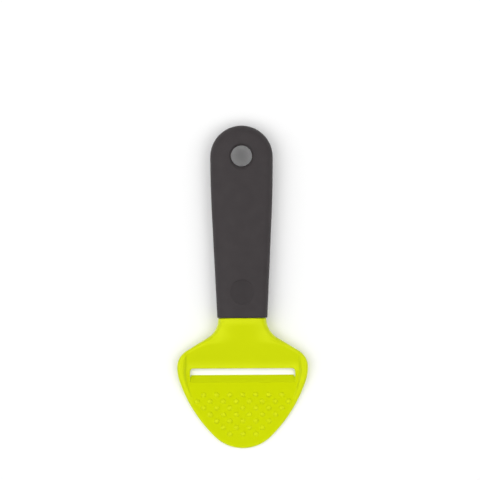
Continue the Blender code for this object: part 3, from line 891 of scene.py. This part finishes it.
# %% Sweep the handle
GRIP_START = NECK_BACK + 0.1
FRONT_ROUND = 0.5
FRONT_ROUND_STEPS = 5
SECTION_POINTS = 96
CAP_STEPS = 48
ROW_STEP = 2.0
CLOSE_ROWS = 30.0
CLOSE_STEP = 0.8


def set_row(verts, turn, distance, inset):
    for vert in verts:
        out, height = section_point(distance, inset, vert[turn])
        vert.co = (math.copysign(out, vert.co.x), JOINT_Y + distance, height)


def half_ring(bm, inset):
    """The right half of the section at the round end's centre."""
    turn = bm.verts.layers.float.new("turn")
    bmesh.ops.create_circle(bm, segments=SECTION_POINTS, radius=1.0)
    left = [vert for vert in bm.verts if vert.co.x < -TOUCH]
    bmesh.ops.delete(bm, geom=left, context="VERTS")
    for vert in bm.verts:
        vert[turn] = math.atan2(max(vert.co.x, 0.0), vert.co.y)
    set_row(bm.verts, turn, CAP_DISTANCE, inset)
    return turn


def handle_rows(first, front_round):
    """Distance and extra inset of every row, from the round end's centre to the joint."""
    rows = steps_between(CAP_DISTANCE - ROW_STEP, CLOSE_ROWS, ROW_STEP)
    rows += steps_between(CLOSE_ROWS - CLOSE_STEP, first + 1.2, CLOSE_STEP)
    rows = [(distance, 0.0) for distance in rows] + [(first + front_round, 0.0)]
    if front_round:
        for step in range(1, FRONT_ROUND_STEPS + 1):
            angle = math.pi / 2.0 * step / FRONT_ROUND_STEPS
            back = front_round * (1.0 - math.sin(angle))
            rows.append((first + back, front_round * (1.0 - math.cos(angle))))
    return rows


def handle_form(inset, first, front_round=0.0):
    """The handle or a skin smaller, closed at both ends; its front edge can be rounded."""
    bm = bmesh.new()
    turn = half_ring(bm, inset)
    bmesh.ops.spin(
        bm,
        geom=bm.verts[:] + bm.edges[:],
        cent=(0.0, JOINT_Y + CAP_DISTANCE, 0.0),
        axis=(0.0, 0.0, 1.0),
        angle=math.pi,
        steps=CAP_STEPS,
    )
    bmesh.ops.remove_doubles(bm, verts=bm.verts, dist=TOUCH)
    ring = [edge for edge in bm.edges if edge.is_boundary]
    for distance, extra in handle_rows(first, front_round):
        made = bmesh.ops.extrude_edge_only(bm, edges=ring)["geom"]
        row = [item for item in made if isinstance(item, bmesh.types.BMVert)]
        set_row(row, turn, distance, inset + extra)
        ring = [item for item in made if isinstance(item, bmesh.types.BMEdge)]
    bmesh.ops.contextual_create(bm, geom=ring)
    bmesh.ops.recalc_face_normals(bm, faces=bm.faces)
    return bm


grip = keep("grip_skin", handle_form(0.0, GRIP_START, FRONT_ROUND))
print("grip form:", len(grip.data.vertices), "points")

# %% [markdown]
# ## The grip is a skin
#
# The soft grip is moulded over a hard core, so it is a shell, and it also lines the
# hanging hole. The same sweep, one skin smaller, makes the cavity. A spun profile
# makes the hole: a straight bore whose ends flare out in an arc, so that it feels
# soft and hangs freely on any hook.

# %% Make the skin and the hanging hole
HOLE_RADIUS = 6.3
HOLE_FLARE_RADIUS = 2.4
HOLE_FLARE = math.radians(55.0)
HOLE_FLARE_STEPS = 12
HOLE_OVERRUN = 2.5
HOLE_DISTANCE = CAP_DISTANCE + 0.6
CIRCLE_STEPS = 96


def hole_profile():
    """Half of the bore's outline, from its middle up to well clear of the handle."""
    middle = END_THICKNESS / 2.0
    bend = crown_radius(END_RADIUS - EDGE_RADIUS, middle)
    straight = middle - HOLE_RADIUS**2 / (2.0 * bend) - HOLE_FLARE_RADIUS
    upper = [(HOLE_RADIUS, 0.0)]
    for step in range(HOLE_FLARE_STEPS + 1):
        angle = HOLE_FLARE * step / HOLE_FLARE_STEPS
        radius = HOLE_RADIUS + HOLE_FLARE_RADIUS * (1.0 - math.cos(angle))
        upper.append((radius, straight + HOLE_FLARE_RADIUS * math.sin(angle)))
    radius, rise = upper[-1]
    top = rise + HOLE_OVERRUN
    return [*upper, (radius + HOLE_OVERRUN * math.tan(HOLE_FLARE), top), (0.0, top)]


upper = hole_profile()
lower = [(radius, -rise) for radius, rise in reversed(upper[1:])]
bore = [(radius, END_THICKNESS / 2.0 + rise) for radius, rise in lower + upper]
cavity = keep("grip_cavity", handle_form(SKIN, -CLEAR))
lining = upright_pin(HOLE_RADIUS + SKIN, HOLE_DISTANCE, -CLEAR, END_THICKNESS + CLEAR, CIRCLE_STEPS)
carve(cavity, keep("hole_lining", lining))
carve(grip, cavity)
carve(grip, keep("hanging_hole", spun(bore, JOINT_Y + HOLE_DISTANCE, CIRCLE_STEPS)))
print("grip with hole:", len(grip.data.vertices), "points")

# %% [markdown]
# ## The thumb dish
#
# A round dish near the neck shows the thumb where to press. Its edge is crisp and
# its floor is slightly hollow. Pressing a ball into the grip would blur that edge,
# so the cutter is another spun profile: an upright wall, a small fillet at its
# foot, and a shallow bowl.

# %% Press the thumb dish
DISH_DISTANCE = 16.05
DISH_RADIUS = 7.5
DISH_DEPTH = 0.6
DISH_FLOOR_RADIUS = 33.0
DISH_FLOOR_STEPS = 8
DISH_FILLET = 0.45
DISH_FILLET_STEPS = 5


def dish_profile():
    top = grip_thickness(DISH_DISTANCE)
    foot = top - DISH_DEPTH
    points = [(0.0, top + CLEAR), (DISH_RADIUS, top + CLEAR), (DISH_RADIUS, foot + DISH_FILLET)]
    for step in range(1, DISH_FILLET_STEPS + 1):
        angle = math.pi / 2.0 * step / DISH_FILLET_STEPS
        inward = DISH_FILLET * (1.0 - math.cos(angle))
        points.append((DISH_RADIUS - inward, foot + DISH_FILLET * (1.0 - math.sin(angle))))
    flat = DISH_RADIUS - DISH_FILLET
    for step in range(1, DISH_FLOOR_STEPS + 1):
        radius = flat * (1.0 - step / DISH_FLOOR_STEPS)
        points.append((radius, foot - (flat**2 - radius**2) / (2.0 * DISH_FLOOR_RADIUS)))
    return points


carve(grip, keep("thumb_dish", spun(dish_profile(), JOINT_Y + DISH_DISTANCE, CIRCLE_STEPS)))
print("grip with dish:", len(grip.data.vertices), "points")

# %% [markdown]
# ## Finishing the meshes
#
# The pieces are scaled to metres and shaded smooth, with a sharp edge only where
# two faces meet at a real corner. On the head the limit is well under the usual 30
# degrees: the ramp meets the plate at about that angle, and smooth shading across
# such a crease would draw a bright line. Weighted normals then let the large faces
# rule, so that the small triangles along a cut don't show as dents.

# %% Scale, shade and put the pieces in the frame
HEAD_CREASE = 21.0
GRIP_CREASE = 32.0


def finish_piece(piece, node, crease):
    """Scales and shades a piece, and lets it stand in for a node of the frame."""
    piece.data.transform(Matrix.Scale(MM, 4))
    piece.data.shade_smooth()
    piece.data.set_sharp_from_angle(angle=math.radians(crease))
    weights = piece.modifiers.new("even_shading", "WEIGHTED_NORMAL")
    weights.keep_sharp = True
    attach(piece, "root")
    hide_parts(node)
    size = [round(side / MM, 2) for side in piece.dimensions]
    print(piece.name, len(piece.data.polygons), "faces", size)


finish_piece(head, "slicer_head", HEAD_CREASE)
finish_piece(grip, "soft_grip", GRIP_CREASE)

# %% [markdown]
# ## Helpers for the finishes
#
# Every finish below is made of noise that is read in Object coordinates, so that
# the pattern belongs to the piece and doesn't move with the camera. A few helpers
# keep the node trees short: one adds any node and fills its inputs with numbers or
# links, and the others make a noise, bring it to a range, blend two colours by it,
# or turn it into fine relief.

# %% Helpers for materials
NOISE_RANGE = (0.3, 0.7)


def start_material(name):
    """A new material with its node tree and its shader."""
    material = bpy.data.materials.new(name)
    material.use_nodes = True
    return material, material.node_tree, material.node_tree.nodes["Principled BSDF"]


def fill_inputs(tree, node, inputs):
    """Gives each input of a node its number, or the link that brings it."""
    for name, value in inputs.items():
        if isinstance(value, bpy.types.NodeSocket):
            tree.links.new(value, node.inputs[name])
        else:
            node.inputs[name].default_value = value


def add_node(tree, kind, output, inputs, **settings):
    """Adds a node and returns one output of it."""
    node = tree.nodes.new(f"ShaderNode{kind}")
    for name, value in settings.items():
        setattr(node, name, value)
    fill_inputs(tree, node, inputs)
    return node.outputs[output]


def map_place(tree, coordinates, stretch, shift=(0.0, 0.0, 0.0)):
    """Where a point lies, on a map that is stretched and shifted."""
    point = add_node(tree, "TexCoord", coordinates, {})
    inputs = {"Vector": point, "Location": shift, "Scale": stretch}
    return add_node(tree, "Mapping", "Vector", inputs)


def map_distance(tree, coordinates, stretch, shift=(0.0, 0.0, 0.0)):
    """How far a point lies from the middle of such a map."""
    point = map_place(tree, coordinates, stretch, shift)
    return add_node(tree, "VectorMath", "Value", {0: point}, operation="LENGTH")


def noise(tree, scale, detail=2.0, stretch=(1.0, 1.0, 1.0)):
    """A noise with about as many spots to the metre as its scale says."""
    point = map_place(tree, "Object", stretch)
    return add_node(tree, "TexNoise", "Fac", {"Vector": point, "Scale": scale, "Detail": detail})


def mapped(tree, value, ends, limits=NOISE_RANGE, way="LINEAR"):
    """A value brought from one pair of limits to the two ends that a finish needs."""
    names = ("From Min", "From Max", "To Min", "To Max")
    inputs = dict(zip(names, (*limits, *ends)), Value=value)
    return add_node(tree, "MapRange", "Result", inputs, interpolation_type=way)


def blended(tree, value, first, second):
    """A colour between two, chosen by a noise."""
    share = mapped(tree, value, (0.0, 1.0))
    inputs = {"Factor": share, "A": (*first, 1.0), "B": (*second, 1.0)}
    return add_node(tree, "Mix", "Result", inputs, data_type="RGBA")


def relief(tree, value, distance, strength, before=None):
    """Fine relief of a height in metres, on top of another relief where one is given."""
    inputs = {"Height": value, "Distance": distance, "Strength": strength}
    if before:
        inputs["Normal"] = before
    return add_node(tree, "Bump", "Normal", inputs)


def dress(piece, material):
    piece.data.materials.clear()
    piece.data.materials.append(material)
    print(piece.name, "dressed in", material.name)


# %% [markdown]
# ## Lime nylon
#
# The head is a glass-filled nylon in one strong lime. Under a soft light it looks
# even, but the filler leaves faint clouds in the colour, the gloss varies from
# place to place, and the moulded skin has a very slight ripple that softens every
# reflection. A picture texture could hold all that, but noise has no seams and no
# size. The reflections are tinted lime, as the real ones never look white.

# %% Lime nylon
LIME = ((0.622, 0.718, 0.0), (0.632, 0.728, 0.0))
LIME_GLOSS = (1.0, 1.0, 0.1, 1.0)


def lime_nylon():
    material, tree, shader = start_material("lime_nylon_moulded")
    ripple = relief(tree, noise(tree, 900.0), 0.00001, 0.2)
    finish = {
        "Base Color": blended(tree, noise(tree, 90.0, 3.0), *LIME),
        "Roughness": mapped(tree, noise(tree, 400.0), (0.28, 0.32)),
        "Normal": relief(tree, noise(tree, 5200.0), 0.000003, 0.2, ripple),
        "IOR": 1.5,
        "Specular IOR Level": 0.9,
        "Specular Tint": LIME_GLOSS,
    }
    fill_inputs(tree, shader, finish)
    return material


dress(head, lime_nylon())

# %% [markdown]
# ## Soft-touch rubber
#
# The grip is a warm dark grey rubber with a mat skin that hardly shines at all, so
# its specular level is very low. The mould was spark-eroded, which leaves an even
# grain finer than a fifth of a millimetre, and a broader noise varies the roughness.
# The thumb dish's floor is painted a little darker, as painted shade for its hollow.
# It could be a piece of its own, but on the real grip nothing parts it from the skin,
# so a mask does it: 1 inside the dish's circle and 0 outside.

# %% Soft-touch rubber
GRIP_GREY = ((0.0515, 0.0453, 0.047), (0.0565, 0.0497, 0.0515))
# painted shade: the dish's floor is coloured a tenth darker for its hollow
DISH_PAINTED_SHADE = (0.9, 0.9, 0.9, 1.0)
DISH_SHADE_EDGE = 0.3


# mask for the dish's painted shade
def dish_shade_mask(tree):
    """1 on the floor of the thumb dish, 0 outside it."""
    to_middle = (0.0, -(JOINT_Y + DISH_DISTANCE) * MM, 0.0)
    outward = map_distance(tree, "Object", (1.0, 1.0, 0.0), to_middle)
    limits = (DISH_RADIUS * MM, (DISH_RADIUS - DISH_SHADE_EDGE) * MM)
    return mapped(tree, outward, (0.0, 1.0), limits)


def soft_touch():
    material, tree, shader = start_material("grey_soft_touch_skin")
    grey = blended(tree, noise(tree, 140.0, 3.0), *GRIP_GREY)
    # painted shade, multiplied into the grey inside the dish
    painted_dish_shade = {"Factor": dish_shade_mask(tree), "A": grey, "B": DISH_PAINTED_SHADE}
    kind = {"data_type": "RGBA", "blend_type": "MULTIPLY"}
    grain = relief(tree, noise(tree, 6500.0), 0.000015, 0.5)
    finish = {
        "Base Color": add_node(tree, "Mix", "Result", painted_dish_shade, **kind),
        "Roughness": mapped(tree, noise(tree, 60.0), (0.46, 0.54)),
        "Normal": relief(tree, noise(tree, 1500.0), 0.00001, 0.3, grain),
        "Specular IOR Level": 0.08,
    }
    fill_inputs(tree, shader, finish)
    return material


dress(grip, soft_touch())

# %% [markdown]
# ## The hard core
#
# The core keeps its CAD shape, because only a sliver of it could ever be seen in
# the joint. It gets the finish of a plain dark moulding: a little glossier than the
# grip, with flow marks drawn out along the handle.

# %% Hard core
CORE_GREY = ((0.06, 0.06, 0.063), (0.085, 0.085, 0.09))
FLOW_STRETCH = (1.0, 0.15, 1.0)


def hard_core():
    material, tree, shader = start_material("grey_core_moulded")
    flow = noise(tree, 120.0, 3.0, FLOW_STRETCH)
    finish = {
        "Base Color": blended(tree, flow, *CORE_GREY),
        "Roughness": mapped(tree, flow, (0.42, 0.55)),
        "Normal": relief(tree, noise(tree, 2500.0), 0.00001, 0.3),
    }
    fill_inputs(tree, shader, finish)
    return material


dress(bpy.data.objects["handle_core"], hard_core())

# %% [markdown]
# ## The floor and the backdrop
#
# Catalogue photographs are taken on white, while the object itself is lit plainly.
# The floor has the colour of white paper, lies a hair under the tool and reaches
# far out, for low views. A little emission lifts it to white. Only rays of the
# camera, of reflections and of what shines through a piece see that emission, so it
# doesn't light the tool, and the tool's shade stays on the floor.
#
# The light comes from the world: two wide scrims to the left and the right, and a
# darker gap between them overhead, where the lens looks through. Area lamps would
# do it too, but a world that is shaded by direction has softer edges. The backdrop
# is a strip of the world along the horizon, all that a low camera sees above the
# floor. It is white to the same three kinds of ray, and so is no light on the tool.

# %% Floor and world
FLOOR_REACH = 20.0
FLOOR_DROP = 0.00005
FLOOR_LIFT = 0.04
PAPER = (0.98, 0.98, 0.98, 1.0)
WHITE = (1.0, 1.0, 1.0, 1.0)
GAP_STRETCH = (1.0, 1.17, 0.0)
GAP_LIMITS = (0.28, 0.44)
SCRIM_SHIFT = (0.03, 0.01, 0.0)
SCRIM_STRETCH = (0.77, 1.22, 0.0)
SCRIM_LIMITS = (0.59, 0.79)
SCRIM_LEVEL = 2.08
ROOM_LEVEL = 0.39
BACKDROP_LIMITS = (0.9981, 0.9993)


def is_looked_at(tree):
    """1 for rays of the camera, of reflections and through a piece, else 0."""
    rays = tree.nodes.new("ShaderNodeLightPath").outputs
    total = rays["Is Camera Ray"]
    for name in ("Is Glossy Ray", "Is Transmission Ray"):
        total = add_node(tree, "Math", "Value", {0: total, 1: rays[name]}, operation="MAXIMUM")
    return total


def white_floor():
    bm = bmesh.new()
    bmesh.ops.create_grid(bm, x_segments=2, y_segments=2, size=FLOOR_REACH)
    bmesh.ops.translate(bm, verts=bm.verts, vec=(0.0, 0.0, -FLOOR_DROP))
    floor = keep("floor", bm)
    material, tree, shader = start_material("white_paper")
    lift = {0: is_looked_at(tree), 1: FLOOR_LIFT}
    finish = {
        "Base Color": PAPER,
        "Roughness": 0.9,
        "Specular IOR Level": 0.0,
        "Emission Color": WHITE,
        "Emission Strength": add_node(tree, "Math", "Value", lift, operation="MULTIPLY"),
    }
    fill_inputs(tree, shader, finish)
    dress(floor, material)


def scrims(tree):
    """Strength of the light from every side: two wide scrims with a dark gap overhead."""
    gap = map_distance(tree, "Generated", GAP_STRETCH)
    outward = map_distance(tree, "Generated", SCRIM_STRETCH, SCRIM_SHIFT)
    light = {
        0: mapped(tree, gap, (0.0, 1.0), GAP_LIMITS, "SMOOTHSTEP"),
        1: mapped(tree, outward, (SCRIM_LEVEL, ROOM_LEVEL), SCRIM_LIMITS, "SMOOTHSTEP"),
    }
    return add_node(tree, "Math", "Value", light, operation="MULTIPLY")


def backdrop(tree):
    """1 for what is looked at along the horizon, 0 higher up and for the light."""
    flatness = map_distance(tree, "Generated", (1.0, 1.0, 0.0))
    strip = mapped(tree, flatness, (0.0, 1.0), BACKDROP_LIMITS)
    return add_node(tree, "Math", "Value", {0: is_looked_at(tree), 1: strip}, operation="MULTIPLY")


def studio_world():
    """The scrims light the tool, and the backdrop stands white behind it."""
    world = bpy.data.worlds.new("studio")
    world.use_nodes = True
    bpy.context.scene.world = world
    tree = world.node_tree
    levels = {"Factor": backdrop(tree), "A": scrims(tree), "B": 1.0}
    strength = add_node(tree, "Mix", "Result", levels)
    fill_inputs(tree, tree.nodes["Background"], {"Color": WHITE, "Strength": strength})


white_floor()
studio_world()
print("floor and world are white to the camera")

# %% [markdown]
# ## The camera
#
# The picture is taken from straight above with a long lens, so that the sides
# hardly show. The lens follows from the distance and from the width that the
# picture covers at the height of the tool.

# %% Camera
CAMERA_HEIGHT = 4.0
CAMERA_MIDDLE = (-0.00115, 0.0282)
CAMERA_TURN = math.radians(-0.3)
PICTURE_WIDTH = 0.288
MEAN_HEIGHT = 0.005

lens = bpy.data.cameras.new("camera")
lens.sensor_width = 36.0
lens.lens = lens.sensor_width * (CAMERA_HEIGHT - MEAN_HEIGHT) / PICTURE_WIDTH
camera = bpy.data.objects.new("camera", lens)
camera.location = (*CAMERA_MIDDLE, CAMERA_HEIGHT)
camera.rotation_euler = (0.0, 0.0, CAMERA_TURN)
bpy.context.scene.collection.objects.link(camera)
bpy.context.scene.camera = camera
print(f"lens {lens.lens:.1f} mm")

# %% [markdown]
# ## Finish
#
# The colours are kept as they are, with no film look on top.

# %% Finish
bpy.context.scene.view_settings.view_transform = "Standard"
bpy.context.view_layer.update()
